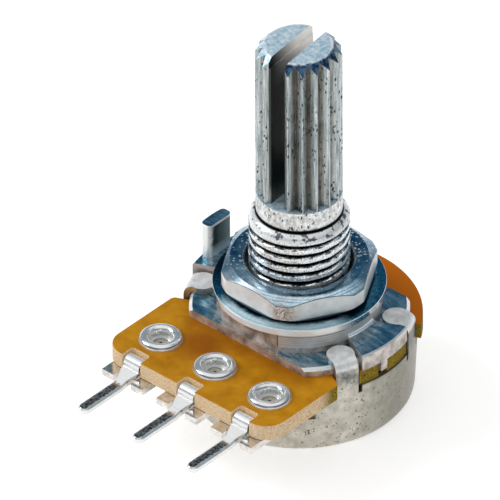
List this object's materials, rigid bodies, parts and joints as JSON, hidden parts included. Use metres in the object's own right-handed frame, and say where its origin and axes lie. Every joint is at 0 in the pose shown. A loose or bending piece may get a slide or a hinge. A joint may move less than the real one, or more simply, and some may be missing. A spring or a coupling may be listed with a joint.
{
  "type": "rotary potentiometer",
  "caption": "Panel-mount rotary potentiometer with a knurled split shaft, threaded bushing, nut and washer, round sheet-metal can and solder pins at the side.",
  "frame": {"origin": "on the shaft's axis at the rear face of the can", "axes": "+Z along the shaft towards the knob end, -Y towards the terminals, X along the row of terminals with the locating lug at -X"},
  "size_m": [0.0164, 0.0254, 0.0289],
  "materials": {
    "cast_plate": "zinc die casting with bright zinc plating",
    "can_sheet": "matte nickel-plated steel sheet",
    "laminate": "phenolic paper laminate, amber face and tan punched edge",
    "carbon_print": "printed carbon ink",
    "silver_print": "printed silver ink",
    "tinned_sheet": "brass sheet with bright tin plating",
    "rivet_tin": "brass with tin plating",
    "shaft_alloy": "bare turned and knurled aluminium",
    "polymer": "natural nylon",
    "ring_steel": "phosphated spring steel",
    "rotor_moulding": "brown moulded phenolic",
    "spring_brass": "phosphor bronze",
    "washer_plate": "bright zinc-plated steel",
    "nut_plate": "bright nickel-plated steel"
  },
  "bodies": {
    "housing": {"front_plate": "cast_plate", "rear_can": "can_sheet", "element_board": "laminate", "carbon_track": "carbon_print", "collector_ring": "silver_print", "end_pad_left": "silver_print", "end_pad_right": "silver_print", "terminal_left": "tinned_sheet", "terminal_centre": "tinned_sheet", "terminal_right": "tinned_sheet", "rivet_left": "rivet_tin", "rivet_centre": "rivet_tin", "rivet_right": "rivet_tin"},
    "rotor": {"control_shaft": "shaft_alloy", "thrust_washer": "polymer", "retaining_ring": "ring_steel", "rotor_disc": "rotor_moulding", "wiper_spring": "spring_brass"},
    "washer": {"flat_washer": "washer_plate"},
    "nut": {"hex_nut": "nut_plate"}
  },
  "joints": [
    {"name": "shaft_turn", "type": "hinge", "parent": "housing", "child": "rotor", "pos_m": [0, 0, 0.012], "axis": [0, 0, 1], "range_deg": [-156.5, 143.5]},
    {"name": "washer_lift", "type": "slide", "parent": "housing", "child": "washer", "axis": [0, 0, 1], "range_m": [0, 0.00375]},
    {"name": "nut_turn", "type": "hinge", "parent": "washer", "child": "nut", "pos_m": [0, 0, 0.01], "axis": [0, 0, 1], "range_deg": [0, 1800.5]}
  ],
  "couplings": [
    {"joint": "nut_turn", "follows": "washer_lift", "rad_per_m": 8377.6}
  ]
}
